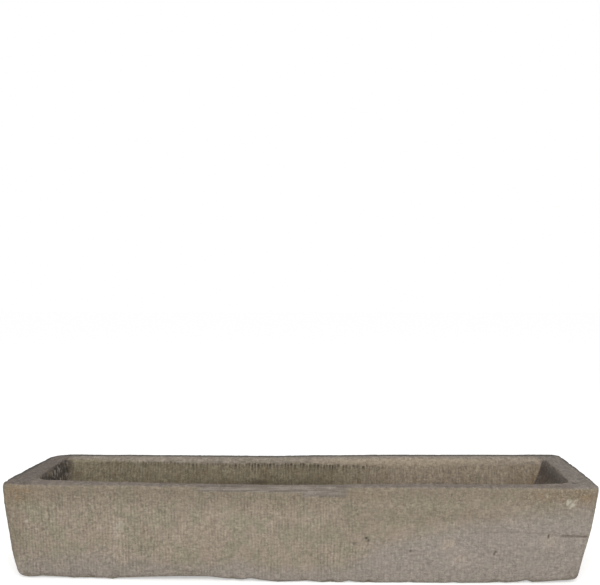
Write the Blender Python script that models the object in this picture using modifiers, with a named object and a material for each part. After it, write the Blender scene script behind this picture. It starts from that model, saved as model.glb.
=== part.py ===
"""Stone trough planter.

One block of buff-grey sandstone, hewn to a long battered trough and hollowed out from the top.
The block is out of square, as a hand-cut one is: its right end is wider than its left, and its
back long side sits a little to the right of the front one. The arrises are worn, the front rim
has lost two long flakes, and three holes are drilled through the floor to drain it.
Metres, +Z up. X runs along the trough, -Y is the front, and the base stands on Z = 0.
"""

import math

import bmesh
import bpy
from mathutils import Vector

# The block at its rim
LENGTH = 1.614
WIDTH = 0.450
HEIGHT = 0.268

# Out of square: the back is shorter and stands to the right, and the left end is narrower
BACK_SHORTER = 0.004
BACK_SHIFT = 0.015
LEFT_NARROWER = 0.036

# Batter, how far each outer face leans in from the rim to the base
FRONT_BATTER = 0.035
BACK_BATTER = 0.035
LEFT_BATTER = 0.037
RIGHT_BATTER = 0.052

# Bellies, how far a face swells past a straight line between its edges
LEFT_PLAN_BELLY = 0.008
RIGHT_PLAN_BELLY = 0.007
LEFT_FACE_BELLY = 0.006
FRONT_BASE_BELLY = 0.010

# Wear has lowered the rim about its middle
RIM_SAG = 0.0035
RIM_SAG_PLACE = -0.080
RIM_SAG_SPREAD = 0.260

# Walls at the rim, and the floor
FRONT_WALL = 0.048
BACK_WALL = 0.065
LEFT_WALL = 0.052
LEFT_WALL_AT_FRONT = 0.084
RIGHT_WALL = 0.059
FLOOR_THICKNESS = 0.072

# How far each inner wall leans in from the rim to the floor
FRONT_INNER_LEAN = 0.024
BACK_INNER_LEAN = 0.028
LEFT_INNER_LEAN = 0.033
RIGHT_INNER_LEAN = 0.066

# Worn edges, each the width that the wear has taken off a sharp arris
RIM_WEAR = 0.006
BASE_WEAR = 0.008
END_BASE_WEAR = 0.020
END_BASE_WEAR_SPREAD = 0.300
LEFT_BASE_WEAR = 0.026
FRONT_LEFT_CORNER_WEAR = 0.012
FRONT_RIGHT_CORNER_WEAR = 0.010
BACK_RIGHT_CORNER_WEAR = 0.020
BACK_LEFT_CORNER_WEAR = 0.046
WEAR_STEPS = 3

# The hollow's front side closes in towards both ends, and its left end bows out
FRONT_CLOSING = 0.016
FRONT_CLOSING_SPREAD = 0.140
LEFT_MOUTH_BELLY = 0.012

# Rounded corners of the hollow, and the lip that wear has opened at its mouth
HOLLOW_FRONT_CORNER = 0.030
HOLLOW_BACK_CORNER = 0.012
HOLLOW_FLOOR_ROUND = 0.024
LIP_DROP = 0.011
LIP_WIDTH = 0.005
END_LIP_WIDTH = 0.002

# Hewn faces, which wander in long shallow waves
HEWN_DEPTH = 0.0022
HEWN_LENGTH = 0.47
HEWN_RISE = 0.21
INNER_HEWN_DEPTH = 0.0030

# The front wall is thinner about the middle, where the hollow was cut too near the face
THIN_WALL_DEPTH = 0.011
THIN_WALL_PLACE = -0.090
THIN_WALL_SPREAD = 0.210

# Two flakes broken from the front rim: place along the rim, half length, reach and drop
FLAKES = {
    "long_flake": {"place": -0.125, "half_length": 0.140, "reach": 0.009, "drop": 0.014},
    "short_flake": {"place": 0.063, "half_length": 0.066, "reach": 0.011, "drop": 0.020},
}
FLAKE_SQUARENESS = 3

# Drain holes in a row along the middle of the floor
DRAIN_RADIUS = 0.014
DRAIN_COUNT = 3
DRAIN_SPACING = 0.480

# Grids that the faces are shaped on, counted in cuts along, across and up
BLOCK_CUTS = (29, 6, 4)
HOLLOW_CUTS = (29, 5, 4)
DRAIN_SIDES = 20
FLAKE_SIDES = 20
FLAKE_RINGS = 12

# Half a cell of the finest grid, as a share of the whole run
HALF_CELL_SHARE = 0.5 / (max(BLOCK_CUTS) + 1)

# Every cutter runs past the face it opens by this much
OVERRUN = 0.020

# Colour, linear, of the weathered stone
STONE_COLOUR = (0.279, 0.238, 0.195, 1.0)
STONE_ROUGHNESS = 0.92

# The three waves that make a face wander, chosen by eye: turns along, turns up, phase and weight
WAVE_SHARES = ((1.0, 0.0, 0.15, 0.50), (1.9, 0.8, 0.55, 0.31), (3.7, -1.3, 0.80, 0.19))

# Where in its waves each face starts, so that no two wander alike
OUTER_START_SHARES = {"front": 0.0, "back": 0.4, "left": 0.7, "right": 0.2}
INNER_START_SHARES = {"front": 0.9, "back": 0.3, "left": 0.1, "right": 0.6}


def clear_scene():
    for old in list(bpy.data.objects):
        bpy.data.objects.remove(old, do_unlink=True)


def make_collection(name):
    collection = bpy.data.collections.new(name)
    bpy.context.scene.collection.children.link(collection)
    return collection


def make_stone():
    stone = bpy.data.materials.new("weathered_sandstone")
    stone.use_nodes = True
    shader = stone.node_tree.nodes["Principled BSDF"]
    shader.inputs["Base Color"].default_value = STONE_COLOUR
    shader.inputs["Roughness"].default_value = STONE_ROUGHNESS
    shader.inputs["Metallic"].default_value = 0.0
    stone.diffuse_color = STONE_COLOUR
    return stone


def rim_plan():
    """Corners of the block's rim: front left, front right, back right, back left."""
    front_half = LENGTH / 2
    back_half = (LENGTH - BACK_SHORTER) / 2
    return (
        Vector((-front_half, 0)),
        Vector((front_half, 0)),
        Vector((BACK_SHIFT + back_half, WIDTH)),
        Vector((BACK_SHIFT - back_half, WIDTH - LEFT_NARROWER)),
    )


def inset_plan(plan, left, right, front, back):
    """The same four corners, each side drawn in by its own amount."""
    front_left, front_right, back_right, back_left = plan
    return (
        front_left + Vector((left, front)),
        front_right + Vector((-right, front)),
        back_right + Vector((-right, -back)),
        back_left + Vector((left, -back)),
    )


def mouth_plan():
    """Corners of the hollow's mouth. The left wall thickens towards the front."""
    mouth = inset_plan(rim_plan(), LEFT_WALL, RIGHT_WALL, FRONT_WALL, BACK_WALL)
    mouth[0].x += LEFT_WALL_AT_FRONT - LEFT_WALL
    return mouth


def floor_plan():
    """Corners of the hollow's floor."""
    return inset_plan(
        mouth_plan(), LEFT_INNER_LEAN, RIGHT_INNER_LEAN, FRONT_INNER_LEAN, BACK_INNER_LEAN
    )


def plan_point(plan, along, across):
    """A point of the plan, from its shares of the way along and across."""
    front_left, front_right, back_right, back_left = plan
    front = front_left.lerp(front_right, along)
    back = back_left.lerp(back_right, along)
    return front.lerp(back, across)


def arch(share):
    """Nothing at either end of a run and 1 at its middle."""
    return 4 * share * (1 - share)


def hump(run, place, spread):
    """1 at one place and fading to nothing either side of it."""
    return math.exp(-(((run - place) / spread) ** 2))


def hewn_wave(run, rise, start):
    """Between -1 and 1: how a hand-cut face wanders at one of its points."""
    total = 0.0
    for along_share, up_share, phase_share, weight_share in WAVE_SHARES:
        turns = along_share * run / HEWN_LENGTH + up_share * rise / HEWN_RISE
        total += weight_share * math.sin(math.tau * (turns + phase_share + start))
    return total


def unit_grid(cuts):
    """A unit cube from 0 to 1, its faces cut into a grid."""
    grid = bmesh.new()
    bmesh.ops.create_cube(grid, size=1)
    for axis, count in enumerate(cuts):
        along = []
        for edge in grid.edges:
            run = edge.verts[1].co - edge.verts[0].co
            if abs(run[axis]) > run.length / 2:
                along.append(edge)
        bmesh.ops.subdivide_edges(grid, edges=along, cuts=count, use_grid_fill=True)
    bmesh.ops.translate(grid, verts=grid.verts, vec=Vector((1, 1, 1)) / 2)
    return grid


def sides_of(share):
    """Which sides of the unit cube a point lies on."""
    names = (("left", "right"), ("front", "back"), ("bottom", "top"))
    found = set()
    for axis, (low, high) in enumerate(names):
        if share[axis] < HALF_CELL_SHARE:
            found.add(low)
        if share[axis] > 1 - HALF_CELL_SHARE:
            found.add(high)
    return found


def weigh_edges(grid, widths, widest):
    """Gives the cube's own edges their wear, by the pair of sides that meet there."""
    weight = grid.edges.layers.float.new("bevel_weight_edge")
    for edge in grid.edges:
        first, second = edge.verts
        shared = frozenset(sides_of(first.co) & sides_of(second.co))
        if shared in widths:
            middle = (first.co.x + second.co.x) / 2
            edge[weight] = widths[shared](middle) / widest


def flatten_foot(grid):
    """The level face at the foot needs no grid."""
    flat = [face for face in grid.faces if all("bottom" in sides_of(v.co) for v in face.verts)]
    bmesh.ops.dissolve_faces(grid, faces=flat, use_verts=False)


def strip_top(grid):
    """The face at the top keeps only the cuts that run across it."""
    flat = {face for face in grid.faces if all("top" in sides_of(v.co) for v in face.verts)}
    lengthwise = []
    for edge in grid.edges:
        run = edge.verts[1].co - edge.verts[0].co
        if flat.issuperset(edge.link_faces) and abs(run.x) > abs(run.y):
            lengthwise.append(edge)
    bmesh.ops.dissolve_edges(grid, edges=lengthwise, use_verts=True)


def wear_edges(body, widest):
    bevel = body.modifiers.new("worn_edges", "BEVEL")
    bevel.limit_method = "WEIGHT"
    bevel.width = widest
    bevel.segments = WEAR_STEPS
    bevel.use_clamp_overlap = False


def base_wear(along):
    """The foot of the front and back faces is more worn towards the ends."""
    from_end = min(along, 1 - along) * LENGTH
    return BASE_WEAR + (END_BASE_WEAR - BASE_WEAR) * hump(from_end, 0, END_BASE_WEAR_SPREAD)


def block_spot(share):
    """Where a point of the block's grid goes, from its shares along, across and up."""
    rim = rim_plan()
    base = inset_plan(rim, LEFT_BATTER, RIGHT_BATTER, FRONT_BATTER, BACK_BATTER)
    low = plan_point(base, share.x, share.y)
    high = plan_point(rim, share.x, share.y)
    spot = low.lerp(high, share.z)
    sides = sides_of(share)
    up = share.z * (HEIGHT - RIM_SAG * hump(spot.x, RIM_SAG_PLACE, RIM_SAG_SPREAD))
    start = OUTER_START_SHARES
    if "front" in sides:
        spot.y -= HEWN_DEPTH * hewn_wave(spot.x, up, start["front"])
        spot.y -= FRONT_BASE_BELLY * arch(share.x) * (1 - share.z)
    if "back" in sides:
        spot.y += HEWN_DEPTH * hewn_wave(spot.x, up, start["back"])
    if "left" in sides:
        spot.x -= HEWN_DEPTH * hewn_wave(spot.y, up, start["left"])
        spot.x -= LEFT_PLAN_BELLY * arch(share.y) + LEFT_FACE_BELLY * arch(share.z)
    if "right" in sides:
        spot.x += HEWN_DEPTH * hewn_wave(spot.y, up, start["right"])
        spot.x += RIGHT_PLAN_BELLY * arch(share.y)
    return Vector((spot.x, spot.y, up))


def make_block(stone, collection):
    """The outer block: battered faces on a rim plan that is out of square."""
    widths = {
        frozenset(("left", "front")): lambda along: FRONT_LEFT_CORNER_WEAR,
        frozenset(("right", "front")): lambda along: FRONT_RIGHT_CORNER_WEAR,
        frozenset(("right", "back")): lambda along: BACK_RIGHT_CORNER_WEAR,
        frozenset(("left", "back")): lambda along: BACK_LEFT_CORNER_WEAR,
        frozenset(("left", "bottom")): lambda along: LEFT_BASE_WEAR,
        frozenset(("right", "bottom")): base_wear,
        frozenset(("front", "bottom")): base_wear,
        frozenset(("back", "bottom")): base_wear,
    }
    for side in ("left", "right", "front", "back"):
        widths[frozenset((side, "top"))] = lambda along: RIM_WEAR
    widest = max(BACK_LEFT_CORNER_WEAR, LEFT_BASE_WEAR, BACK_RIGHT_CORNER_WEAR)
    grid = unit_grid(BLOCK_CUTS)
    weigh_edges(grid, widths, widest)
    flatten_foot(grid)
    strip_top(grid)
    for vert in grid.verts:
        vert.co = block_spot(vert.co.copy())
    mesh = bpy.data.meshes.new("trough")
    grid.to_mesh(mesh)
    grid.free()
    mesh.materials.append(stone)
    trough = bpy.data.objects.new("trough", mesh)
    collection.objects.link(trough)
    wear_edges(trough, widest)
    return trough


def make_cutter(name, mesh, collection):
    cutter = bpy.data.objects.new(name, mesh)
    cutter.hide_render = True
    cutter.display_type = "WIRE"
    collection.objects.link(cutter)
    return cutter


def hollow_spot(share):
    """Where a point of the hollow's grid goes. Its top row flares past the rim."""
    depth = HEIGHT - FLOOR_THICKNESS
    lip_share = HOLLOW_CUTS[2] / (HOLLOW_CUTS[2] + 1)
    sides = sides_of(share)
    flare_share = 0
    up = FLOOR_THICKNESS + share.z / lip_share * (depth - LIP_DROP)
    if "top" in sides:
        up = HEIGHT + OVERRUN
        flare_share = (LIP_DROP + OVERRUN) / LIP_DROP
    low = plan_point(floor_plan(), share.x, share.y)
    high = plan_point(mouth_plan(), share.x, share.y)
    spot = low.lerp(high, (up - FLOOR_THICKNESS) / depth)
    start = INNER_START_SHARES
    if "front" in sides:
        from_end = min(share.x, 1 - share.x) * LENGTH
        spot.y += FRONT_CLOSING * hump(from_end, 0, FRONT_CLOSING_SPREAD)
        spot.y -= THIN_WALL_DEPTH * hump(spot.x, THIN_WALL_PLACE, THIN_WALL_SPREAD)
        spot.y -= INNER_HEWN_DEPTH * hewn_wave(spot.x, up, start["front"])
        spot.y -= LIP_WIDTH * flare_share
    if "back" in sides:
        spot.y += INNER_HEWN_DEPTH * hewn_wave(spot.x, up, start["back"])
        spot.y += LIP_WIDTH * flare_share
    if "left" in sides:
        spot.x -= INNER_HEWN_DEPTH * hewn_wave(spot.y, up, start["left"])
        spot.x -= LEFT_MOUTH_BELLY * arch(share.y) + END_LIP_WIDTH * flare_share
    if "right" in sides:
        spot.x += INNER_HEWN_DEPTH * hewn_wave(spot.y, up, start["right"])
        spot.x += END_LIP_WIDTH * flare_share
    return Vector((spot.x, spot.y, up))


def make_hollow(collection):
    """The cutter for the hollow: leaning walls, round corners, and a worn lip at its mouth."""
    widths = {}
    for end in ("left", "right"):
        widths[frozenset((end, "front"))] = lambda along: HOLLOW_FRONT_CORNER
        widths[frozenset((end, "back"))] = lambda along: HOLLOW_BACK_CORNER
    for side in ("left", "right", "front", "back"):
        widths[frozenset((side, "bottom"))] = lambda along: HOLLOW_FLOOR_ROUND
    widest = max(HOLLOW_FRONT_CORNER, HOLLOW_BACK_CORNER, HOLLOW_FLOOR_ROUND)
    grid = unit_grid(HOLLOW_CUTS)
    weigh_edges(grid, widths, widest)
    flatten_foot(grid)
    strip_top(grid)
    for vert in grid.verts:
        vert.co = hollow_spot(vert.co.copy())
    mesh = bpy.data.meshes.new("hollow_cutter")
    grid.to_mesh(mesh)
    grid.free()
    cutter = make_cutter("hollow_cutter", mesh, collection)
    wear_edges(cutter, widest)
    return cutter


def make_flake(name, size, collection):
    """The cutter for a flake lost from the front rim: a long bite with blunt ends."""
    ball = bmesh.new()
    bmesh.ops.create_uvsphere(ball, u_segments=FLAKE_SIDES, v_segments=FLAKE_RINGS, radius=1)
    for vert in ball.verts:
        along = vert.co.z
        round_girth = math.sqrt(max(1 - along**2, 0))
        blunt_girth = max(1 - abs(along) ** FLAKE_SQUARENESS, 0) ** (1 / FLAKE_SQUARENESS)
        swell = blunt_girth / round_girth if round_girth > 0 else 1
        across = vert.co.x * swell * size["reach"]
        up = -vert.co.y * swell * size["drop"]
        vert.co = (along * size["half_length"], across, up)
    bmesh.ops.recalc_face_normals(ball, faces=ball.faces)
    mesh = bpy.data.meshes.new(name + "_cutter")
    ball.to_mesh(mesh)
    ball.free()
    cutter = make_cutter(name + "_cutter", mesh, collection)
    sag = RIM_SAG * hump(size["place"], RIM_SAG_PLACE, RIM_SAG_SPREAD)
    cutter.location = (size["place"], 0, HEIGHT - sag)
    return cutter


def make_drain(name, place, collection):
    """The cutter for one drilled drain hole, through the floor from above to below."""
    rod = bmesh.new()
    run = FLOOR_THICKNESS + 2 * OVERRUN
    bmesh.ops.create_cone(
        rod, cap_ends=True, segments=DRAIN_SIDES, radius1=DRAIN_RADIUS, radius2=DRAIN_RADIUS, depth=run
    )
    mesh = bpy.data.meshes.new(name + "_cutter")
    rod.to_mesh(mesh)
    rod.free()
    cutter = make_cutter(name + "_cutter", mesh, collection)
    cutter.location = (place.x, place.y, FLOOR_THICKNESS / 2)
    return cutter


def drain_places():
    """Drain holes stand on the middle line of the floor, evenly about its centre."""
    left = plan_point(floor_plan(), 0, 0.5)
    right = plan_point(floor_plan(), 1, 0.5)
    places = []
    for number in range(DRAIN_COUNT):
        step = (number - (DRAIN_COUNT - 1) / 2) * DRAIN_SPACING
        places.append(left.lerp(right, 0.5) + (right - left).normalized() * step)
    return places


def cut(trough, cutter):
    boolean = trough.modifiers.new(cutter.name.replace("_cutter", ""), "BOOLEAN")
    boolean.operation = "DIFFERENCE"
    boolean.solver = "EXACT"
    boolean.object = cutter


def centre_on_box(body, root):
    """Moves the whole part so that its box stands centred on the origin."""
    bpy.context.view_layer.update()
    solid = body.evaluated_get(bpy.context.evaluated_depsgraph_get())
    corners = [body.matrix_world @ Vector(corner) for corner in solid.bound_box]
    middle_x = (min(c.x for c in corners) + max(c.x for c in corners)) / 2
    middle_y = (min(c.y for c in corners) + max(c.y for c in corners)) / 2
    root.location = (-middle_x, -middle_y, 0)
    bpy.context.view_layer.update()


def build_planter():
    clear_scene()
    parts = make_collection("stone_trough_planter")
    cutters = make_collection("cutters")
    stone = make_stone()
    root = bpy.data.objects.new("planter_origin", None)
    parts.objects.link(root)

    trough = make_block(stone, parts)
    tools = [make_hollow(cutters)]
    for name, size in FLAKES.items():
        tools.append(make_flake(name, size, cutters))
    for number, place in enumerate(drain_places(), 1):
        tools.append(make_drain(f"drain_{number}", place, cutters))
    for tool in tools:
        cut(trough, tool)
    for body in [trough] + tools:
        body.parent = root
    centre_on_box(trough, root)


build_planter()
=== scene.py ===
"""A hand-hewn stone trough planter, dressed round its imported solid.

The block is cut finer, its arrises are worn and chipped, its faces are furrowed with a tooth
chisel, and then it is given its stone, stood on a pale studio floor and lit softly.
Metres, +Z up: X runs along the trough, -Y is the front, and the base stands on Z = 0.
"""

import math

import bpy
import numpy as np
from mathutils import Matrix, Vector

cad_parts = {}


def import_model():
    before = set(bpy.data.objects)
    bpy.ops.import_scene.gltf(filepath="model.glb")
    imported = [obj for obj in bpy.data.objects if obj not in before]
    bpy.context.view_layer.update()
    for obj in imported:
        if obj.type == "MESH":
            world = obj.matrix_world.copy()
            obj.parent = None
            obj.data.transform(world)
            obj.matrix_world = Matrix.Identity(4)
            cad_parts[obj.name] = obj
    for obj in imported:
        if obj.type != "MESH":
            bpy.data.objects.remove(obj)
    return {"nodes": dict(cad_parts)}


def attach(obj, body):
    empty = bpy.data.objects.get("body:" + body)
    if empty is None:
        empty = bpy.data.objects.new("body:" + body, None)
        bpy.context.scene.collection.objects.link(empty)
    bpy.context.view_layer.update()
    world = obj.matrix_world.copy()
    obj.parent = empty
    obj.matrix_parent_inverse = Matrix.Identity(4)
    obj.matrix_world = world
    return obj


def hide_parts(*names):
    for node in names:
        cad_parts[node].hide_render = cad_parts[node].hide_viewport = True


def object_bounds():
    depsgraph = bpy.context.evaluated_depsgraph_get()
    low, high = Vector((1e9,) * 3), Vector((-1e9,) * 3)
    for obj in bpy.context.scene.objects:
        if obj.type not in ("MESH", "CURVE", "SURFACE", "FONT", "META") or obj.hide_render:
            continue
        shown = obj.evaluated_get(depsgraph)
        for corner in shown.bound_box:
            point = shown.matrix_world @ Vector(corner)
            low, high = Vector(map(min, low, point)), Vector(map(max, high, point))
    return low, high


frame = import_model()
cad_low, cad_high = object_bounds()


# The camera
# It stands level in front of the trough, above its rim and a little to the right of its middle,
# and is turned a little to the left.
VIEW_SENSOR = 36.0
VIEW_LENS = 49.02
VIEW_PLACE = (0.0646, -2.4178, 0.7887)
VIEW_PAN = math.radians(1.68)

view = bpy.data.cameras.new("photo_view")
view.sensor_width = VIEW_SENSOR
view.lens = VIEW_LENS
camera = bpy.data.objects.new("photo_view", view)
camera.location = VIEW_PLACE
camera.rotation_euler = (math.radians(90), 0, VIEW_PAN)
bpy.context.scene.collection.objects.link(camera)
bpy.context.scene.camera = camera


# The block
# One piece of fine-grained sandstone, hewn outside to a battered trough and hollowed from the top.
# The quarried block is recut here in cells finer than a chisel's stroke, finest along its length.
CELL = np.array((0.0021, 0.0030, 0.0040))

quarried = frame["nodes"]["trough"].data.copy()
spots = np.empty(len(quarried.vertices) * 3)
quarried.vertices.foreach_get("co", spots)
spots = spots.reshape(-1, 3) / CELL
quarried.vertices.foreach_set("co", spots.ravel())
blank = bpy.data.objects.new("blank", quarried)
bpy.context.scene.collection.objects.link(blank)
recut = blank.modifiers.new("recut", "REMESH")
recut.mode = "VOXEL"
recut.voxel_size = 1.0
shown = blank.evaluated_get(bpy.context.evaluated_depsgraph_get())
hewn = bpy.data.meshes.new_from_object(shown)
bpy.data.objects.remove(blank)
bpy.data.meshes.remove(quarried)

count = len(hewn.vertices)
spots = np.empty(count * 3)
hewn.vertices.foreach_get("co", spots)
spots = spots.reshape(-1, 3) * CELL
x, y, z = spots.T  # these three follow the points as the stone is worked
corners = np.empty(len(hewn.loops), dtype=np.int64)
hewn.loops.foreach_get("vertex_index", corners)
quads = corners.reshape(-1, 4)
bonds = np.empty(len(hewn.edges) * 2, dtype=np.int64)
hewn.edges.foreach_get("vertices", bonds)
bonds = bonds.reshape(-1, 2)
ends_of_bonds = np.concatenate((bonds[:, 0], bonds[:, 1]))
others_of_bonds = np.concatenate((bonds[:, 1], bonds[:, 0]))
bond_counts = np.bincount(ends_of_bonds, minlength=count)


def eased(values, rounds):
    """Each value drawn halfway to the mean of its neighbours, a number of times over."""
    values = values.copy()
    columns = values.reshape(count, -1)
    for _ in range(rounds):
        for column in columns.T:
            beside = np.bincount(ends_of_bonds, weights=column[others_of_bonds], minlength=count)
            column += (beside / bond_counts - column) / 2
    return values


def facing(spots):
    """Which way the stone faces at each of its points."""
    across = spots[quads[:, 2]] - spots[quads[:, 0]]
    along = spots[quads[:, 3]] - spots[quads[:, 1]]
    tilts = np.cross(across, along)
    total = np.empty((count, 3))
    for axis in range(3):
        weights = np.repeat(tilts[:, axis], 4)
        total[:, axis] = np.bincount(corners, weights=weights, minlength=count)
    return total / np.linalg.norm(total, axis=1, keepdims=True)


def ramp(value, low, high):
    """0 below low and 1 above high, smoothly in between. It runs down where low is above high."""
    share = np.clip((value - low) / (high - low), 0, 1)
    return share * share * (3 - 2 * share)


def hump(value, place, spread):
    """1 at one place and fading to nothing either side of it."""
    return np.exp(-(((value - place) / spread) ** 2))


def read_off(value, bends):
    """The height of a line at each value. The line is given by its bends: place and height."""
    return np.interp(value, *np.array(bends).T)


DICE_SEED = 1807
DICE_SIDES = 1 << 14
DICE_TURNS = (73856093, 19349663, 83492791, 49979687)
DICE_FOLD = 13
dice = np.random.default_rng(DICE_SEED).random(DICE_SIDES)


def thrown(*whole):
    """The same share for the same whole numbers, every time: how each stroke and grain differs."""
    total = np.zeros_like(whole[0], dtype=np.int64)
    for number, turn in zip(whole, DICE_TURNS):
        total = total ^ (np.asarray(number, dtype=np.int64) * turn)
    return dice[(total ^ (total >> DICE_FOLD)) % DICE_SIDES]


def mottle(spots, size, seed):
    """Cloudy unevenness of one size, from -1 to 1. The size may differ along each axis."""
    scaled = spots / np.asarray(size)
    cell = np.floor(scaled).astype(np.int64)
    inner = scaled - cell
    inner = inner * inner * (3 - 2 * inner)
    total = np.zeros(len(spots))
    for corner in range(8):
        step = np.array((corner & 1, corner >> 1 & 1, corner >> 2 & 1))
        share = np.prod(np.where(step, inner, 1 - inner), axis=1)
        total += share * thrown(*(cell + step).T, np.full(len(spots), seed))
    return 2 * total - 1


def clouds(spots, size, seed, layers=3):
    """Mottling laid over finer mottling, each layer half the size and half the weight."""
    total = np.zeros(len(spots))
    for layer in range(layers):
        total += mottle(spots, np.asarray(size) / 2**layer, seed + layer) / 2**layer
    return total / (2 - 0.5 ** (layers - 1))


# The sides of the block, each told from the way that the rough stone faces
HEIGHT = 0.268
SPAN = np.array((0.80, 0.21))
MIDDLE_LINE = -0.008
FACING_SOFTENING_ROUNDS = 6
LEVEL_FACING = (0.55, 0.85)
BED_TO_RIM = (0.14, 0.20)
OUTWARD_BLUR = 0.05
TURNING_BLUR = 0.2

rough_facing = facing(eased(spots, FACING_SOFTENING_ROUNDS))
outward = (rough_facing[:, :2] * (spots[:, :2] - (0, MIDDLE_LINE)) / SPAN).sum(axis=1)
level = ramp(rough_facing[:, 2], *LEVEL_FACING)
under = ramp(-rough_facing[:, 2], *LEVEL_FACING)
outer = (1 - level) * (1 - under) * ramp(outward, -OUTWARD_BLUR, OUTWARD_BLUR)
inner = (1 - level) * (1 - under) * (1 - ramp(outward, -OUTWARD_BLUR, OUTWARD_BLUR))
rim = level * ramp(z, *BED_TO_RIM)
bed = level * (1 - ramp(z, *BED_TO_RIM))
endways = np.abs(rough_facing[:, 0]) - np.abs(rough_facing[:, 1])
endwise = ramp(endways, -TURNING_BLUR, TURNING_BLUR)
forward = ramp(-rough_facing[:, 1], -TURNING_BLUR, TURNING_BLUR)

# Arrises, worn round in passing and chipped by knocks
ARRIS_SOFTENING_ROUNDS = 10
CRISP_CORNER = (-0.812, -0.218, 0.266)
worn_share = 0.30 + 0.70 * ramp(clouds(spots, 0.060, 11), -0.1, 0.6)
worn_share *= 1 - 0.75 * forward * ramp(z, 0.030, 0.0)
worn_share *= 0.7 + 0.3 * ramp(np.linalg.norm(spots - CRISP_CORNER, axis=1), 0.02, 0.06)
softened = eased(spots, ARRIS_SOFTENING_ROUNDS)
spots += (softened - spots) * worn_share[:, None]

# Corners that have been knocked rounder than the rest: place and how far the rounding reaches
ROUNDED_CORNERS = (
    ((-0.812, -0.222, 0.268), 0.018), ((0.805, -0.224, 0.266), 0.022),
    ((-0.795, 0.180, 0.266), 0.050), ((0.812, 0.218, 0.266), 0.019),
)
CORNER_SOFTENING_ROUNDS = 40
softened = eased(spots, CORNER_SOFTENING_ROUNDS)
for corner, reach in ROUNDED_CORNERS:
    away = np.linalg.norm(spots - corner, axis=1)
    spots += (softened - spots) * ramp(away, reach, 0.3 * reach)[:, None]
z[:] = np.maximum(z, 0)

# The foot is uneven: how far its front arris is lifted off the ground, place by place along it
FOOT_LIFTS = (
    (-0.775, 0.0000), (-0.740, 0.0012), (-0.715, 0.0042), (-0.660, 0.0025), (-0.640, 0.0020),
    (-0.625, 0.0002), (-0.610, 0.0018), (-0.535, 0.0026), (-0.517, 0.0000), (-0.500, 0.0038),
    (-0.410, 0.0086), (-0.330, 0.0118), (-0.250, 0.0114), (-0.195, 0.0062), (-0.160, 0.0044),
    (-0.135, 0.0084), (-0.112, 0.0050), (-0.060, 0.0002), (0.020, 0.0042), (0.060, 0.0000),
    (0.112, 0.0006), (0.132, 0.0052), (0.150, 0.0022), (0.180, 0.0000), (0.275, 0.0000),
    (0.295, 0.0018), (0.310, 0.0000), (0.395, 0.0000), (0.416, 0.0022), (0.432, 0.0000),
    (0.515, 0.0000), (0.540, 0.0022), (0.556, 0.0002), (0.590, 0.0022), (0.616, 0.0072),
    (0.630, 0.0010), (0.660, 0.0022), (0.705, 0.0062), (0.735, 0.0076), (0.756, 0.0030),
    (0.775, 0.0010),
)
FRONT_FOOT_LINE = -0.200
FOOT_LIFT_DEPTH = (0.060, 0.010)
FOOT_LIFT_HEIGHT = 0.040
foot_lift = read_off(x, FOOT_LIFTS)
foot_lift *= ramp(y - FRONT_FOOT_LINE, *FOOT_LIFT_DEPTH) * ramp(z, FOOT_LIFT_HEIGHT, 0.0)
z += foot_lift

# The back and end rims stand a little proud of the front one
RIM_LIFTS = (
    (-0.80, 0.0026), (-0.76, 0.0012), (-0.60, 0.0004), (-0.30, 0.0003), (-0.08, 0.0012),
    (0.00, 0.0026), (0.40, 0.0022), (0.70, 0.0026), (0.80, 0.0026),
)
rim_lift = read_off(x, RIM_LIFTS) * ramp(z, 0.215, 0.262)
end_lifts = ramp(x, 0.74, 0.78) + ramp(x, -0.74, -0.78) * ramp(y, -0.05, -0.13)
rim_lift *= np.maximum(ramp(y, 0.08, 0.16), end_lifts)
z += rim_lift

# The arrises that knocks have chipped, each as a run and the way out of the stone across it
ARRISES = {
    "front_foot": ((-0.765, -0.196, 0.0), (0.763, -0.196, 0.0), (0, -0.8, -0.6)),
    "back_foot": ((-0.740, 0.160, 0.0), (0.755, 0.187, 0.0), (0, 0.8, -0.6)),
    "left_foot": ((-0.768, -0.185, 0.0), (-0.755, 0.150, 0.0), (-0.8, 0, -0.6)),
    "right_foot": ((0.765, -0.185, 0.0), (0.776, 0.180, 0.0), (0.8, 0, -0.6)),
    "front_rim": ((-0.800, -0.2245, HEIGHT), (0.798, -0.2245, HEIGHT), (0, -0.7, 0.7)),
    "back_rim": ((-0.770, 0.190, HEIGHT), (0.805, 0.223, HEIGHT), (0, 0.7, 0.7)),
    "left_rim": ((-0.812, -0.215, HEIGHT), (-0.798, 0.160, HEIGHT), (-0.7, 0, 0.7)),
    "right_rim": ((0.807, -0.215, HEIGHT), (0.814, 0.205, HEIGHT), (0.7, 0, 0.7)),
    "front_right_corner": ((0.765, -0.194, 0.02), (0.804, -0.222, 0.25), (0.7, -0.7, 0)),
    "front_left_corner": ((-0.770, -0.194, 0.02), (-0.808, -0.222, 0.25), (-0.7, -0.7, 0)),
    "back_right_corner": ((0.768, 0.180, 0.02), (0.812, 0.214, 0.25), (0.7, 0.7, 0)),
    "front_mouth": ((-0.715, -0.180, HEIGHT), (0.735, -0.180, HEIGHT), (0, 0.7, 0.7)),
    "back_mouth": ((-0.725, 0.128, HEIGHT), (0.745, 0.160, HEIGHT), (0, -0.7, 0.7)),
}
CHIPS_PER_METRE = 24
CHIP_SCOOP = 0.030
LEAST_CHIP, CHIP_RANGE = 0.0012, 0.0042
KNOCKS_SEED = 7
knocks = np.random.default_rng(KNOCKS_SEED)
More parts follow.
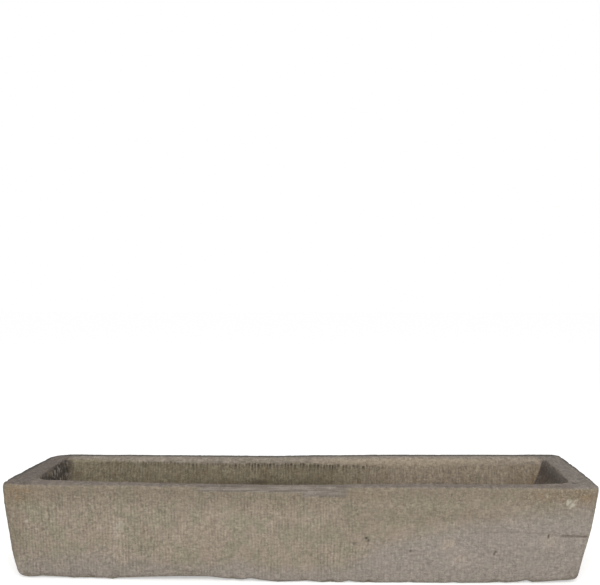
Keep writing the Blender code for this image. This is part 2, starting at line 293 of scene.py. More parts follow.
for start, end, way_out in ARRISES.values():
    start, end, way_out = (np.array(point, dtype=float) for point in (start, end, way_out))
    run = end - start
    along = run / np.linalg.norm(run)
    for _ in range(int(np.linalg.norm(run) * CHIPS_PER_METRE)):
        place = start + run * knocks.random()
        depth = LEAST_CHIP + CHIP_RANGE * knocks.random() ** 3
        scoop = CHIP_SCOOP * (0.5 + knocks.random())
        near = np.flatnonzero(np.abs((spots - place) @ along) < scoop)
        near = near[np.linalg.norm(spots[near] - place, axis=1) < 1.5 * scoop]
        if not len(near):
            continue
        reach = ((spots[near] - place) @ way_out).max()
        centre = place + way_out * (reach - depth + scoop)
        away = spots[near] - centre
        length = np.linalg.norm(away, axis=1)
        deep = length < scoop
        spots[near[deep]] = centre + away[deep] * (scoop / length[deep])[:, None]

# Chisel strokes: upright furrows side by side, each broken into strokes of its own
STROKE_PITCH = 0.0086
STROKE_LENGTH = 0.020


def furrows(across, up, seed):
    """Each point's place from ridge to furrow, and how deep the chisel has cut there, 0 to 1."""
    flat = np.stack((across, np.zeros(count), up), axis=1)
    wander = 0.50 * mottle(flat, (0.050, 1.0, 0.110), seed)
    wander += 0.25 * mottle(flat, (0.012, 1.0, 0.030), seed + 3)
    turn = across / STROKE_PITCH + wander
    furrow = np.floor(turn)
    groove = (0.5 - 0.5 * np.cos(2 * np.pi * (turn - furrow))) ** 1.3
    rise = up / STROKE_LENGTH + 5 * thrown(furrow, np.full(count, seed))
    stroke = np.floor(rise)
    weight = 0.25 + 0.75 * thrown(furrow, stroke, np.full(count, seed + 1))
    stroke_end = ramp(rise - stroke, 0, 0.12) * ramp(rise - stroke, 1, 0.80)
    return groove, groove * weight * (0.35 + 0.65 * stroke_end)


RIM_WEAR = 0.002
below_rim = HEIGHT - RIM_WEAR + rim_lift - z
crosswise = np.where(endwise > 0.5, y, x)
along_only = spots * (1, 0, 0)
outside_furrows, outside_strokes = furrows(crosswise, z, seed=21)
inside_strokes = furrows(crosswise, z, seed=31)[1]

# On the front the strokes are plainest left of the middle
front_plainness = 0.40 + 0.60 * ramp(x, 0.30, 0.05)
plainness = 1 - forward * (1 - endwise) * (1 - front_plainness)
patchy = 0.45 + 0.55 * ramp(clouds(spots, 0.090, 41), -0.35, 0.35)
outside_cut = outer * outside_strokes * plainness * patchy
outside_cut *= ramp(below_rim, 0.004, 0.022) * ramp(z, 0.004, 0.020)

# In the hollow a row of deep notches runs close below the worn lip, and the furrows start there
NOTCH_PITCH = 0.0104
turn = crosswise / NOTCH_PITCH + 0.8 * mottle(along_only, 0.05, 45)
turn += 0.35 * mottle(along_only, 0.021, 46)
own = np.floor(turn)
upright = (0.5 - 0.5 * np.cos(2 * np.pi * turn)) ** 1.1
notch_start = 0.0065 + 0.0050 * ramp(x, -0.45, -0.20) + 0.0055 * ramp(x, -0.06, 0.10)
notch_start += 0.0055 * thrown(own, np.full(count, 5))
notch_length = 0.012 + 0.021 * thrown(own, np.full(count, 8))
notch = ramp(below_rim, notch_start, notch_start + 0.0025)
notch_row = notch * ramp(below_rim, notch_start + notch_length, notch_start)
NOTCHED_SHARES = (
    (-0.67, 0.00), (-0.63, 0.50), (-0.45, 0.45), (-0.30, 0.60), (-0.19, 0.85),
    (-0.16, 1.10), (-0.07, 1.10), (-0.05, 0.85), (0.03, 0.85), (0.05, 1.10),
    (0.09, 1.05), (0.12, 0.55), (0.18, 0.90), (0.22, 0.45), (0.31, 0.00),
)
notched = read_off(x, NOTCHED_SHARES)
notched = inner * (1 - endwise) * (0.12 + 0.88 * notched)
notch_cut = notched * notch_row * upright * (0.30 + 0.75 * thrown(own, np.full(count, 6)))
inside_cut = inner * inside_strokes * notch * (0.45 + 0.55 * notched)

OUTSIDE_CUT_DEPTH = 0.0011
INSIDE_CUT_DEPTH = 0.0016
NOTCH_DEPTH = 0.0042
SWELL, LUMP, RIM_DIP, PICK_DEPTH, GRIT = 0.0009, 0.0005, 0.0010, 0.0016, 0.00035
RIGHT_SIDE, LEFT_SIDE = 0.1, -0.1

# Bellies of the two end faces: side, how far out, at what height and over what height
END_BELLIES = (
    (RIGHT_SIDE, 0.0036, 0.170, 0.060),
    (LEFT_SIDE, 0.0022, 0.070, 0.065),
    (LEFT_SIDE, -0.0010, 0.232, 0.030),
)
swell = SWELL * clouds(spots, (0.16, 0.16, 0.10), 51) * (outer + inner)
for side, belly, up, spread in END_BELLIES:
    swell += belly * endwise * outer * ramp(x, 0, side) * hump(z, up, spread)
lumps = LUMP * clouds(spots, 0.028, 53) * (outer + inner + 0.6 * rim)
rim_dips = RIM_DIP * clouds(spots, (0.11, 0.05, 0.05), 57) * rim
pick_marks = -PICK_DEPTH * ramp(mottle(spots, 0.017, 59), 0.0, 0.8) * bed
grit = GRIT * mottle(spots, 0.0058, 61) * (1 - under)
rise = swell + lumps + rim_dips + pick_marks + grit
rise -= OUTSIDE_CUT_DEPTH * outside_cut + INSIDE_CUT_DEPTH * inside_cut + NOTCH_DEPTH * notch_cut

# Pits in the front face: place along, height, half width, half height and depth
PITS = (
    (0.1790, 0.1255, 0.0047, 0.0035, 0.0039),
    (0.1850, 0.1190, 0.0034, 0.0042, 0.0033),
    (0.1465, 0.1100, 0.0048, 0.0052, 0.0021),
    (0.2980, 0.0910, 0.0038, 0.0036, 0.0031),
    (0.5265, 0.0905, 0.0019, 0.0040, 0.0034),
    (0.5225, 0.0845, 0.0019, 0.0040, 0.0034),
    (0.6670, 0.1335, 0.0024, 0.0058, 0.0037),
    (-0.7030, 0.1420, 0.0060, 0.0056, 0.0017),
    (-0.4820, 0.1800, 0.0085, 0.0034, 0.0016),
    (-0.4330, 0.0770, 0.0050, 0.0040, 0.0010),
    (0.2560, 0.1900, 0.0042, 0.0042, 0.0010),
)
front_face = outer * forward * (1 - endwise)
pit_depth = np.zeros(count)
for along, up, half_width, half_height, depth in PITS:
    reach = ((x - along) / half_width) ** 2 + ((z - up) / half_height) ** 2
    pit_depth = np.maximum(pit_depth, depth * np.exp(-reach))

# A hairline crack along the right of the front face, plainest at its right end: place and height
CRACK_LINE = (
    (0.46, 0.1420), (0.53, 0.1460), (0.60, 0.1465), (0.66, 0.1405), (0.70, 0.1350), (0.79, 0.1325),
)
CRACK_SPREAD = 0.0024
CRACK_DEPTH = 0.0020
crack_line = read_off(x, CRACK_LINE)
crack_line += 0.0012 * mottle(along_only, 0.018, 71)
crack = hump(z, crack_line, CRACK_SPREAD) * ramp(x, 0.45, 0.50)
crack *= 0.30 + 0.70 * ramp(x, 0.692, 0.704)
rise -= front_face * (pit_depth + CRACK_DEPTH * crack)

# Where the front rim has lost its two flakes the bedding shows as low ledges, one under another:
# where each flake sets in, where it dies out and how far down it reaches
SPALLS = (
    ((-0.292, -0.252), (0.009, 0.006), 0.0150),
    ((0.004, 0.010), (0.137, 0.115), 0.0270),
)
SPALL_EDGE = 0.0015
LEDGE_RISE = 0.0120
LEDGE_LEAST, LEDGE_DEPTH = 0.0008, 0.0014
spalled = np.zeros(count)
ragged = 0.0020 * mottle(along_only, 0.020, 73)
for sets_in, dies_out, drop in SPALLS:
    along = ramp(x, *sets_in) * ramp(x, *dies_out)
    lost = ramp(below_rim, drop + ragged + SPALL_EDGE, drop + ragged - SPALL_EDGE)
    spalled = np.maximum(spalled, along * lost)
spalled *= (1 - endwise) * ramp(y, -0.190, -0.200)
ledge = (below_rim - 0.001) / LEDGE_RISE + 0.14 * clouds(along_only, 0.060, 77)
ledge -= np.floor(ledge)
rise -= spalled * (LEDGE_LEAST + LEDGE_DEPTH * ledge)

RISE_SOFTENING_ROUNDS = 2
smooth_facing = facing(eased(spots, RISE_SOFTENING_ROUNDS))
spots += smooth_facing * rise[:, None]
z[:] = np.maximum(z, 0)

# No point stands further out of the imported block's box than this
STANDS_PROUD = 0.003
room = np.array(cad_low) - STANDS_PROUD, np.array(cad_high) + STANDS_PROUD
np.clip(spots, *room, out=spots)

hewn.vertices.foreach_set("co", spots.ravel())
hewn.name = "hewn_trough"
hewn.update()
hewn.polygons.foreach_set("use_smooth", np.ones(len(hewn.polygons), dtype=bool))


def record(name, values):
    """Keeps a value for each point of the stone, for its material to read."""
    layer = hewn.attributes.new(name, "FLOAT", "POINT")
    layer.data.foreach_set("value", np.clip(values, 0, 1).astype(np.float32))


# What the weather has done, and where shade is painted, point by point. First the worn lip and the
# hollow below it.
depth_in = ramp(below_rim, 0.010, 0.130) * (inner + bed)
LIP_DEPTHS = (
    (-0.73, -0.002), (-0.67, 0.000), (-0.58, 0.002), (-0.514, 0.006), (-0.45, 0.007),
    (-0.32, 0.009), (-0.20, 0.011), (0.02, 0.011), (0.14, 0.017), (0.25, 0.021),
    (0.37, 0.025), (0.49, 0.018), (0.71, 0.014),
)
lip_edge = read_off(x, LIP_DEPTHS) + 0.0025 * mottle(spots, 0.012, 81)
tongue = 0.008 + 0.010 * thrown(np.round(turn), np.full(count, 9))
lip_edge += notched * (1 - upright) ** 2 * tongue
lip_edge += 0.012 * endwise
inside = (inner + bed) * ramp(below_rim, lip_edge - 0.001, lip_edge + 0.004)
record("inside", inside)
record("depth_in", depth_in)

# The end walls are dark with damp and with painted shade, painted shadow reaches round their
# corners onto the long walls, and the left one is scratched
end_edge = 0.0030 * mottle(spots, 0.014, 85) + 0.0040 * mottle(spots * (0, 1, 0), 0.0075, 86)
at_left = ramp(x, 0, LEFT_SIDE)
end_edge += 0.0060 * at_left * ramp(y, 0.05, -0.12) - 0.003
end_reach = 0.007 + 0.024 * at_left * hump(y, -0.014, 0.036)
end_top = 0.62 + 0.20 * at_left
end_dark = ramp(below_rim, end_edge, end_edge + end_reach)
end_dark *= end_top + (1 - end_top) * ramp(below_rim, 0.004, 0.032)
fading_down = 1 - 0.6 * depth_in
# Painted shadow on the long walls beside both end walls; at the right its edge slants along this
# line, given as height and place along
corner_shadow = 0.85 * ramp(x, -0.710, -0.738) * ramp(below_rim, -0.003, 0.007) * fading_down
SHADOW_EDGE_LINE = ((0.190, 0.7170), (0.220, 0.7300), (0.250, 0.7420), (0.262, 0.7490))
past_shadow_edge = x - (read_off(z, SHADOW_EDGE_LINE) + 0.0012 * mottle(spots, 0.009, 84))
corner_shadow = np.maximum(corner_shadow, ramp(past_shadow_edge, -0.0030, 0.0020))
record("end_wall", inner * (endwise * end_dark * fading_down + (1 - endwise) * corner_shadow))
scratched = 0.30 + 0.70 * hump(y, 0.030, 0.045)
record("scratched", at_left * endwise * inner * scratched)

# The rim is dulled by handling at its ends and along its front, and the hollow's lip is paler
# right of the middle
record("rim", np.maximum(rim, inner * (1 - inside)))
ends_handled = np.maximum(ramp(x, -0.715, -0.745), 0.75 * ramp(x, 0.725, 0.750))
record("rim_dark", np.maximum(ends_handled, 0.70 * ramp(y, -0.150, -0.170)))
record("right_end", ramp(x, 0.715, 0.745))
lip_pale = ramp(x, -0.10, 0.25) * (1 - 0.6 * ramp(x, 0.45, 0.65))
record("lip", inner * (1 - inside) * (1 - endwise) * lip_pale)

# The flakes with their ledges, the marks of the chisel, faint painted shade and light on the
# front's furrows, and a grain that is a little weaker on the front than elsewhere, but for its left
# end
record("spalled", spalled)
record("ledge", spalled * ramp(ledge, 0.70, 0.95))
record("cut", outside_cut + 1.5 * inside_cut)
record("furrow_shade", 0.5 + (0.5 - outside_furrows) * front_face * plainness * patchy * (1 - spalled))
record("grainy", 1 - 0.12 * ramp(x, -0.40, -0.20) * forward * outer)

# Painted shade darkens the notches, and darker patches lie round them on the back wall
dark_wall_patches = 0.50 * hump(x, -0.136, 0.030) * hump(z, 0.197, 0.009)
dark_wall_patches += 0.10 * hump(x, 0.03, 0.08) * ramp(z, 0.250, 0.235)
dark_wall_patches += 0.22 * hump(x, -0.150, 0.220) * hump(z, 0.193, 0.009)
record("notch", notch_cut + dark_wall_patches * inside * (1 - endwise) * ramp(y, 0, 0.05))

# The faces are duller below the rim, at the corners and where they are worn
brow = ramp(below_rim + 0.02 * clouds(spots, 0.05, 91), 0.085, 0.010)
upper_right = 0.40 * ramp(x, 0.00, 0.12) * ramp(z - 0.10 * x, 0.080, 0.150)
left_corner = 0.75 * ramp(x, -0.735, -0.785) * ramp(z, 0.020, 0.090)
right_corner = 0.35 * ramp(x, 0.710, 0.760) * ramp(z, 0.205, 0.235)
corners_dulled = np.maximum(left_corner, np.maximum(right_corner, upper_right))
worn_band = 0.28 * ramp(x, 0.09, 0.16) * ramp(x, 0.60, 0.52) * hump(z, 0.195, 0.022)
worn_foot = np.maximum(hump(x, -0.300, 0.055), hump(x, 0.750, 0.030))
worn_foot = np.maximum(worn_foot, 0.6 * hump(x, -0.500, 0.025))
worn_foot = 0.45 * worn_foot * hump(z, 0.026, 0.014)
brow = np.maximum(brow, forward * corners_dulled)
brow += forward * (0.5 * right_corner + worn_band + worn_foot)
record("brow", outer * brow)

# How far a point belongs to the right of the trough, where the hollow is rosier
record("flank", ramp(x + 0.08 * clouds(spots, 0.20, 93), 0.08, 0.34))

# Painted shade lies along the outer edge of the rim, at the back and at both ends
back_edge = ramp(y - 0.0205 * x, 0.164, 0.188)
from_left = x + 0.812 - 0.0373 * (y + 0.215)
from_right = 0.807 - x + 0.0167 * (y + 0.215)
end_edges = np.maximum(0.95 * ramp(from_left, 0.014, 0.006), 0.90 * ramp(from_right, 0.014, 0.006))
end_edges *= ramp(y, -0.195, -0.165) * ramp(below_rim, 0.016, 0.004)
record("rim_edge_shade", np.maximum(end_edges, back_edge * ramp(below_rim, 0.014, 0.0)) * (rim + outer))

# Dark marks: the pits, the crack, two shaded runs of the foot and a short groove in the rim
shaded_runs = np.maximum(hump(x, -0.050, 0.040), hump(x, 0.640, 0.035))
shaded_foot = ramp(z - foot_lift, 0.009, 0.003) * shaded_runs
groove = rim * hump(x, 0.745, 0.011) * hump(y, -0.166, 0.006)
DARK_PIT_DEPTH = 0.0034
dark_marks = pit_depth / DARK_PIT_DEPTH + 0.68 * crack + 0.5 * shaded_foot
record("pit", front_face * dark_marks + 0.8 * groove)

# The front turns from buff to mauve below a slanting line, and every outer side does so low down
drift = 0.05 * clouds(spots, 0.16, 83)
BEDDING_LINE = ((-0.10, -0.03), (0.08, 0.03), (0.20, 0.112), (0.48, 0.179), (0.78, 0.223))
under_bedding = ramp(read_off(x, BEDDING_LINE) - z + 0.6 * drift, -0.03, 0.05)
low_down = ramp(z + drift, 0.070 + 0.06 * ramp(x, -0.3, -0.6), 0.0)
record("mauve", np.maximum(front_face * under_bedding, low_down * outer))

# Lichen spots on the front face: place along, height, half width and weight
LICHEN = ((0.718, 0.231, 0.009, 0.85), (0.728, 0.223, 0.009, 0.85), (0.712, 0.224, 0.006, 0.7),
          (0.735, 0.233, 0.006, 0.7), (0.722, 0.214, 0.005, 0.6), (-0.745, 0.165, 0.003, 0.8),
          (-0.700, 0.137, 0.003, 0.7), (-0.645, 0.165, 0.003, 0.6), (0.282, 0.205, 0.003, 0.5),
          (0.660, 0.246, 0.006, 0.5), (0.640, 0.230, 0.003, 0.5), (-0.490, 0.156, 0.016, 0.42),
          (-0.499, 0.134, 0.012, 0.30), (0.416, 0.168, 0.004, 0.5), (0.411, 0.108, 0.004, 0.4),
          (-0.581, 0.183, 0.004, 0.4))
lichen = np.zeros(count)
lichen_edge = 0.004 * mottle(spots, 0.0055, 88)
lichen_specks = 0.35 + 0.65 * ramp(mottle(spots, 0.0042, 87), -0.5, 0.3)
for along, up, size, weight in LICHEN:
    away = np.hypot(x - along, z - up)
    blotch = ramp(away + lichen_edge, size, 0.4 * size) * lichen_specks
    lichen = np.maximum(lichen, weight * blotch)
record("lichen", lichen * front_face)

# Pale blooms in the face: place along, height, half width and weight
BLOOMS = ((-0.505, 0.160, 0.035, 0.9), (-0.498, 0.128, 0.036, 0.9), (-0.545, 0.150, 0.022, 0.6),
          (-0.497, 0.092, 0.034, 0.8), (-0.490, 0.064, 0.026, 0.6), (0.672, 0.122, 0.030, 0.50),
          (0.400, 0.112, 0.030, 0.6), (0.370, 0.155, 0.020, 0.4), (-0.660, 0.040, 0.030, 0.4),
          (0.430, 0.070, 0.035, 0.4), (-0.330, 0.120, 0.030, 0.4), (-0.443, 0.030, 0.014, 0.4),
          (-0.400, 0.075, 0.030, 0.25), (0.097, 0.072, 0.036, 0.35), (0.020, 0.050, 0.030, 0.25))
bloom = np.zeros(count)
bloom_edge = 0.012 * clouds(spots, 0.012, 95)
for along, up, size, weight in BLOOMS:
    away = np.hypot(x - along, z - up)
    bloom = np.maximum(bloom, weight * ramp(away + bloom_edge, size, 0.1 * size))
record("bloom", bloom * front_face)

# Rust stains: weight, place along and its spread, height and its spread
RUST = (
    (0.90, 0.762, 0.030, 0.245, 0.016),
    (0.80, 0.655, 0.045, 0.247, 0.014),
    (0.95, -0.775, 0.055, 0.240, 0.026),
    (0.35, 0.170, 0.060, 0.243, 0.014),
    (0.25, -0.080, 0.045, 0.210, 0.022),
)
stain = np.zeros(count)
for weight, along, wide, up, high in RUST:
    stain += weight * hump(x, along, wide) * hump(z, up, high)

# The hollow is rusty towards its right end, up to the edge of the painted shadow
damp_corner = 0.25 * ramp(x, 0.620, 0.670) + 0.50 * ramp(x, 0.700, 0.735)
damp_corner *= inside * (1 - endwise) * ramp(below_rim, 0.0, 0.060)
rust_fringe = ramp(past_shadow_edge, -0.026, -0.006) * ramp(below_rim, 0.020, 0.065)
damp_corner = np.maximum(damp_corner, inner * (1 - endwise) * rust_fringe)
damp_corner *= ramp(past_shadow_edge, 0.001, -0.005)
record("stain", stain * (0.75 + 1.1 * clouds(spots, 0.012, 89)) * outer + damp_corner)
record("speckled", hump(x, 0.735, 0.075) * ramp(z, 0.205, 0.235) * front_face)

# The block's sides laid out flat beside each other, so that its colours can be kept as a picture
LAYOUT_SCALE = 0.425
UNDER_ROW, TOP_ROW, FRONT_ROW, BACK_ROW = 0.00, 0.47, 0.94, 1.22
INNER_FRONT_ROW, INNER_BACK_ROW, ENDS_ROW = 1.50, 1.78, 2.06
END_COLUMN = 0.47
LAYOUT_CORNER = np.array((0.82, 0.23, 0.0))
DRAINS_REACH = (0.60, 0.06, 0.071)
face_way = smooth_facing[quads].mean(axis=1)
face_place = spots[quads].mean(axis=1)
in_drain = (np.abs(face_place) < DRAINS_REACH).all(axis=1)
face_outward = (outward[quads].mean(axis=1) > 0) & ~in_drain
upward = face_way[:, 2] > 0.6
downward = face_way[:, 2] < -0.6
at_end = ~upward & ~downward & (np.abs(face_way[:, 0]) > np.abs(face_way[:, 1]))
long_row = np.where(face_outward, np.where(face_way[:, 1] < 0, FRONT_ROW, BACK_ROW),
                    np.where(face_way[:, 1] > 0, INNER_FRONT_ROW, INNER_BACK_ROW))
row = np.where(upward, TOP_ROW, np.where(downward, UNDER_ROW, np.where(at_end, ENDS_ROW, long_row)))
column = END_COLUMN * np.where(at_end, (face_place[:, 0] > 0) + 2 * ~face_outward, 0)
laid = spots[quads] + LAYOUT_CORNER
flat_across = np.where(at_end[:, None], laid[:, :, 1], laid[:, :, 0]) + column[:, None]
flat_up = np.where((upward | downward)[:, None], laid[:, :, 1], laid[:, :, 2]) + row[:, None]
layout = hewn.uv_layers.new(name="OFBake")
layout.data.foreach_set("uv", (np.stack((flat_across, flat_up), axis=2) * LAYOUT_SCALE).ravel())

trough = bpy.data.objects.new("hewn_trough", hewn)
bpy.context.scene.collection.objects.link(trough)

# The stone itself: buff and olive grains, greyer where it is handled, darker where it stays damp,
# and painted shade in its hollow's corners, notches and furrows and on its rim's outer edge
stone = bpy.data.materials.new("weathered_sandstone")
stone.use_nodes = True
web = stone.node_tree
shader = web.nodes["Principled BSDF"]
place = web.nodes.new("ShaderNodeTexCoord").outputs["Object"]


def paint(red, green, blue):
    """A colour as a screen shows it, 0 to 255 each, as the linear colour of a shader."""
    shares = (np.array((red, green, blue)) / 255 + 0.055) / 1.055
    return (*(shares**2.4), 1.0)


def join(socket, value):
    """A socket is fed by another one or holds a plain value."""
    if isinstance(value, bpy.types.NodeSocket):
        web.links.new(value, socket)
    else:
        socket.default_value = value


def field(name):
    """One of the values kept for each point of the stone."""
    reader = web.nodes.new("ShaderNodeAttribute")
    reader.attribute_name = name
    return reader.outputs["Fac"]


def sums(first, deed, second):
    """Two sockets or numbers reckoned together."""
    node = web.nodes.new("ShaderNodeMath")
    node.operation = deed
    join(node.inputs[0], first)
    join(node.inputs[1], second)
    return node.outputs[0]


def times(first, second):
    """One socket or number times another."""
    return sums(first, "MULTIPLY", second)


def blend(share, low, high, kind="MIX"):
    """Low with high laid over it, by the share and in the way that kind says."""
    node = web.nodes.new("ShaderNodeMix")
    node.data_type = "RGBA"
    node.blend_type = kind
    join(node.inputs["Factor"], share)
    join(node.inputs["A"], low)
    join(node.inputs["B"], high)
    return node.outputs["Result"]


def grains(size, detail=2.0, roughness=0.5, stretch=(1, 1, 1), shift=0.0):
    """Noise whose blotches are about as wide as size, in metres."""
    mapping = web.nodes.new("ShaderNodeMapping")
    mapping.inputs["Scale"].default_value = tuple(1 / (size * part) for part in stretch)
    mapping.inputs["Location"].default_value = (shift, shift * 1.7, shift * 0.6)
    join(mapping.inputs["Vector"], place)
    noise = web.nodes.new("ShaderNodeTexNoise")
    join(noise.inputs["Vector"], mapping.outputs["Vector"])
    noise.inputs["Scale"].default_value = 1.0
    noise.inputs["Detail"].default_value = detail
    noise.inputs["Roughness"].default_value = roughness
    return noise.outputs["Fac"]


def between(value, low, high, start=0.0, end=1.0):
    """Start where the value is below low and end where it is above high, smoothly in between."""
    node = web.nodes.new("ShaderNodeMapRange")
    node.interpolation_type = "SMOOTHSTEP"
    join(node.inputs["Value"], value)
    node.inputs["From Min"].default_value = low
    node.inputs["From Max"].default_value = high
    node.inputs["To Min"].default_value = start
    node.inputs["To Max"].default_value = end
    return node.outputs["Result"]


# Dry stone: olive and buff, rosy here and there, mauve low down, duller below the rim, and pale
# in its blooms
buff = between(grains(0.050, 4.0, 0.6), 0.40, 0.62)
colour = blend(buff, paint(144, 137, 118), paint(154, 141, 126))
rosy = between(grains(0.038, 3.0, 0.6, (1, 1, 2.2), shift=37.0), 0.48, 0.68, end=0.40)
colour = blend(rosy, colour, paint(153, 135, 120))
light_patches = between(grains(0.020, 4.0, 0.6, shift=5.0), 0.46, 0.64, end=0.42)
colour = blend(light_patches, colour, paint(158, 144, 129))
dark_patches = between(grains(0.017, 4.0, 0.6, shift=7.0), 0.48, 0.66, end=0.42)
colour = blend(dark_patches, colour, paint(131, 124, 107))
colour = blend(times(field("mauve"), 0.85), colour, paint(148, 139, 131))
colour = blend(times(field("brow"), 0.75), colour, paint(126, 115, 99))
colour = blend(field("bloom"), colour, paint(166, 152, 137))

# The rim, the lip and the flakes
rim_patches = between(grains(0.035, 3.0, 0.6, shift=9.0), 0.35, 0.65)
rim_pale = blend(rim_patches, paint(142, 132, 120), paint(153, 142, 129))
handled = blend(field("right_end"), paint(113, 104, 96), paint(121, 114, 108))
rim_colour = blend(field("rim_dark"), rim_pale, handled)
rim_blotches = between(grains(0.009, 3.0, 0.7, (1, 3, 1), 33.0), 0.38, 0.62, 0.90, 1.10)
colour = blend(field("rim"), colour, blend(1.0, rim_colour, rim_blotches, "MULTIPLY"))
colour = blend(field("lip"), colour, paint(163, 149, 130))
# Painted shade along the outer edge of the rim
colour = blend(field("rim_edge_shade"), colour, paint(84, 80, 74))
layers = between(grains(0.0040, 2.0, 0.5, (10, 10, 1), 11.0), 0.40, 0.62)
bedding_colour = blend(layers, paint(119, 111, 102), paint(137, 129, 119))
colour = blend(field("spalled"), colour, bedding_colour)
colour = blend(field("ledge"), colour, paint(106, 98, 90))

# The hollow: olive at the left, rosier and paler at the right, and darker further down
left_hollow = blend(field("depth_in"), paint(141, 131, 110), paint(112, 102, 83))
right_hollow = blend(field("depth_in"), paint(160, 147, 129), paint(132, 119, 104))
hollow_colour = blend(field("flank"), left_hollow, right_hollow)
hollow_blotches = sums(1.0, "SUBTRACT", times(field("flank"), 0.45))
brown_blotches = between(grains(0.030, 3.0, 0.6, shift=13.0), 0.45, 0.70, end=0.5)
olive_blotches = between(grains(0.022, 3.0, 0.6, shift=15.0), 0.50, 0.70, end=0.5)
hollow_colour = blend(times(brown_blotches, hollow_blotches), hollow_colour, paint(118, 99, 78))
hollow_colour = blend(times(olive_blotches, hollow_blotches), hollow_colour, paint(104, 99, 80))
colour = blend(field("inside"), colour, hollow_colour)

# The end walls, dark with damp and with painted shade, with pale scratches on the left one
damp_and_shaded_end = blend(field("flank"), paint(62, 56, 52), paint(84, 76, 70))
drier_patches = between(grains(0.010, 3.0, 0.7, (1, 1, 3), 19.0), 0.45, 0.70)
end_colour = blend(drier_patches, damp_and_shaded_end, paint(110, 100, 92))
scratches = between(grains(0.0150, 1.0, 0.5, (1, 1, 1.1), 20.0), 0.56, 0.64, end=0.9)
end_colour = blend(times(scratches, field("scratched")), end_colour, paint(160, 153, 146))
colour = blend(field("end_wall"), colour, end_colour)

# Rust, the flecks at the right corner, and the furrows darker where the chisel cut deeper
colour = blend(times(field("stain"), 0.80), colour, paint(133, 113, 88))
rust_flecks = between(grains(0.0065, 2.0, 0.6, (1, 2, 1), 39.0), 0.50, 0.60, end=0.55)
colour = blend(times(rust_flecks, field("speckled")), colour, paint(109, 88, 70))
pale_flecks = between(grains(0.0060, 2.0, 0.6, (1, 2, 1), 41.0), 0.58, 0.68, end=0.55)
colour = blend(times(pale_flecks, field("speckled")), colour, paint(172, 162, 140))
colour = blend(times(field("cut"), 0.50), colour, paint(100, 92, 80))

# The grain, weaker where the bedding shows, painted shade in the front's furrows and painted light
# on their ridges, and the damp streaks
coarse_grain = between(grains(0.0095, 4.0, 0.80, (1, 2.0, 1), 17.0), 0.28, 0.72, 0.82, 1.18)
level_dashes = between(grains(0.0050, 2.0, 0.6, (2.4, 2.4, 1.0), 25.0), 0.32, 0.68, 0.82, 1.18)
upright_dashes = between(grains(0.0046, 2.0, 0.6, (1.0, 1.0, 2.4), 27.0), 0.32, 0.68, 0.87, 1.13)
grain = times(coarse_grain, times(level_dashes, upright_dashes))
rougher = between(grains(0.060, 3.0, 0.6, shift=35.0), 0.35, 0.65, 0.65, 1.0)
rougher = times(rougher, sums(1.0, "SUBTRACT", times(field("spalled"), 0.6)))
rougher = times(rougher, field("grainy"))
colour = blend(rougher, colour, blend(1.0, colour, grain, "MULTIPLY"))
# Faint painted shade in the front's furrows and painted light on the ridges between them
furrow_shading = between(field("furrow_shade"), 0.0, 1.0, 0.980, 1.020)
colour = blend(1.0, colour, furrow_shading, "MULTIPLY")
damp_streaks = between(grains(0.0055, 3.0, 0.7, (1, 1, 5), 31.0), 0.36, 0.64, 0.90, 1.10)
colour = blend(field("inside"), colour, blend(1.0, colour, damp_streaks, "MULTIPLY"))

# Single pale and dark grains, then the painted shade of the notches with the darker patches round
# them, lichen and the dark of the pits
pale_grains = between(grains(0.0052, 2.0, 0.6, (1, 2, 1), 21.0), 0.62, 0.72, end=0.40)
colour = blend(pale_grains, colour, paint(180, 172, 158))
dark_grains = between(grains(0.0056, 2.0, 0.6, (1, 2, 1), 23.0), 0.62, 0.72, end=0.45)
colour = blend(dark_grains, colour, paint(98, 91, 80))
colour = blend(times(field("notch"), 1.2), colour, paint(74, 67, 54))
colour = blend(field("lichen"), colour, paint(184, 178, 162))
colour = blend(field("pit"), colour, paint(74, 66, 57))
join(shader.inputs["Base Color"], colour)
join(shader.inputs["Roughness"], between(grains(0.020, 3.0, 0.6, shift=29.0), 0.3, 0.7, 0.86, 0.96))
shader.inputs["Specular IOR Level"].default_value = 0.30

GRAIN_HEIGHT = 0.0012
grain_height = sums(grains(0.0048, 3.0, 0.65, shift=17.0), "ADD", grains(0.0020, 2.0, 0.6))
bump = web.nodes.new("ShaderNodeBump")
bump.inputs["Strength"].default_value = 0.8
bump.inputs["Distance"].default_value = GRAIN_HEIGHT
join(bump.inputs["Height"], grain_height)
join(shader.inputs["Normal"], bump.outputs["Normal"])

hewn.materials.clear()
hewn.materials.append(stone)
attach(trough, "root")
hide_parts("trough")


# The studio
# A wide white floor under a white sky, and one large soft lamp in front, above the camera.
FLOOR_REACH = 30.0
floor_mesh = bpy.data.meshes.new("studio_floor")
floor_corners = [(-FLOOR_REACH, -FLOOR_REACH, 0), (FLOOR_REACH, -FLOOR_REACH, 0),
                 (FLOOR_REACH, FLOOR_REACH, 0), (-FLOOR_REACH, FLOOR_REACH, 0)]
floor_mesh.from_pydata(floor_corners, [], [(0, 1, 2, 3)])
floor = bpy.data.objects.new("studio_floor", floor_mesh)
bpy.context.scene.collection.objects.link(floor)

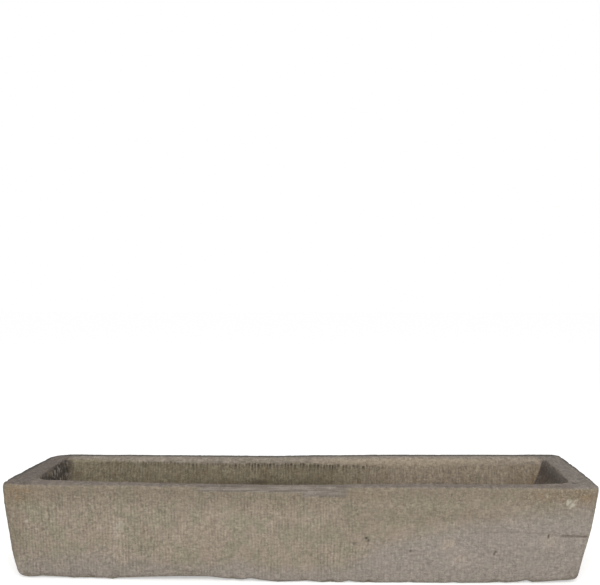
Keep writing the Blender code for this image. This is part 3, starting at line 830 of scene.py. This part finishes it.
FLOOR_WHITE = (0.86, 0.86, 0.86, 1.0)
FLOOR_GLOW = 0.46
white = bpy.data.materials.new("studio_white")
white.use_nodes = True
nodes = white.node_tree.nodes
links = white.node_tree.links
nodes.clear()
paper = nodes.new("ShaderNodeBsdfDiffuse")
paper.inputs["Color"].default_value = FLOOR_WHITE
glow = nodes.new("ShaderNodeEmission")
rays = nodes.new("ShaderNodeLightPath")
seen = nodes.new("ShaderNodeMath")
seen.operation = "MULTIPLY"
seen.inputs[1].default_value = FLOOR_GLOW
links.new(rays.outputs["Is Camera Ray"], seen.inputs[0])
links.new(seen.outputs[0], glow.inputs["Strength"])
both = nodes.new("ShaderNodeAddShader")
links.new(paper.outputs[0], both.inputs[0])
links.new(glow.outputs[0], both.inputs[1])
out = nodes.new("ShaderNodeOutputMaterial")
links.new(both.outputs[0], out.inputs["Surface"])
floor_mesh.materials.append(white)

SKY_LIGHT = 0.62
world = bpy.data.worlds.new("studio_sky")
bpy.context.scene.world = world
world.use_nodes = True
nodes = world.node_tree.nodes
links = world.node_tree.links
sky = nodes["Background"]
sky.inputs["Color"].default_value = (1.0, 1.0, 1.0, 1.0)
rays = nodes.new("ShaderNodeLightPath")
level_of_sky = nodes.new("ShaderNodeMapRange")
links.new(rays.outputs["Is Camera Ray"], level_of_sky.inputs["Value"])
level_of_sky.inputs["To Min"].default_value = SKY_LIGHT
level_of_sky.inputs["To Max"].default_value = 1.0
links.new(level_of_sky.outputs["Result"], sky.inputs["Strength"])

LAMP_POWER = 100.0
LAMP_SIZE = (3.0, 1.6)
LAMP_PLACE = (0.3, -3.6, 2.7)
lamp_data = bpy.data.lights.new("soft_lamp", "AREA")
lamp_data.shape = "RECTANGLE"
lamp_data.size, lamp_data.size_y = LAMP_SIZE
lamp_data.energy = LAMP_POWER
lamp = bpy.data.objects.new("soft_lamp", lamp_data)
lamp.location = LAMP_PLACE
aim = math.atan2(math.hypot(LAMP_PLACE[0], LAMP_PLACE[1]), LAMP_PLACE[2])
lamp.rotation_euler = (aim, 0, math.atan2(LAMP_PLACE[0], -LAMP_PLACE[1]))
bpy.context.scene.collection.objects.link(lamp)

bpy.context.scene.view_settings.view_transform = "Standard"

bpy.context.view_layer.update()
